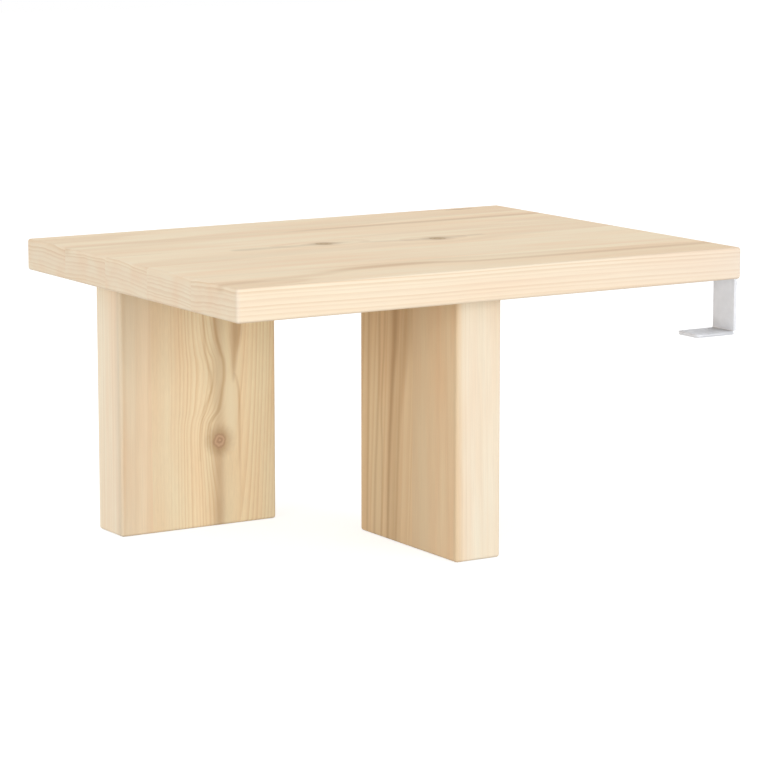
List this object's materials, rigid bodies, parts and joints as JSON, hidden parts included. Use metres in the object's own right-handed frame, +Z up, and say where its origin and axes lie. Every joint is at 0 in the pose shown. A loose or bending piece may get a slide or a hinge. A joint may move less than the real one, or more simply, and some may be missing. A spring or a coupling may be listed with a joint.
{
  "type": "nightstand",
  "caption": "Low pine bedside table: thick rectangular top on panel legs set at right angles, with bent steel hooks under its right end that clasp a bed's side rail.",
  "frame": {"origin": "on the floor under the middle of the top's outline", "axes": "+X along the top, from its free end to the end with the hooks; +Y to the back; +Z up"},
  "size_m": [0.505, 0.385, 0.257],
  "materials": {
    "pine_top": "clear satin lacquer on solid pine",
    "pine_legs": "clear satin lacquer on solid pine",
    "beech": "raw beech",
    "zinc_plated_steel": "bright zinc plating",
    "satin_steel_bar": "satin plated flat bar",
    "die_cast_zinc": "tumbled die-cast zinc"
  },
  "bodies": {
    "root": {"top_stave_1": "pine_top", "top_stave_2": "pine_top", "top_stave_3": "pine_top", "top_stave_4": "pine_top", "top_stave_5": "pine_top", "rear_leg_stave_1": "pine_legs", "rear_leg_stave_2": "pine_legs", "front_leg_stave_1": "pine_legs", "front_leg_stave_2": "pine_legs", "rear_leg_dowel_1": "beech", "rear_leg_dowel_2": "beech", "front_leg_dowel_1": "beech", "front_leg_dowel_2": "beech", "rear_leg_cam_bolt_1": "zinc_plated_steel", "rear_leg_cam_bolt_2": "zinc_plated_steel", "front_leg_cam_bolt_1": "zinc_plated_steel", "front_leg_cam_bolt_2": "zinc_plated_steel", "front_hook_screw_1": "zinc_plated_steel", "front_hook_screw_2": "zinc_plated_steel", "rear_hook_screw_1": "zinc_plated_steel", "rear_hook_screw_2": "zinc_plated_steel", "front_bed_hook": "satin_steel_bar", "rear_bed_hook": "satin_steel_bar", "rear_leg_cam_1": "die_cast_zinc", "rear_leg_cam_2": "die_cast_zinc", "front_leg_cam_1": "die_cast_zinc", "front_leg_cam_2": "die_cast_zinc"}
  },
  "joints": []
}
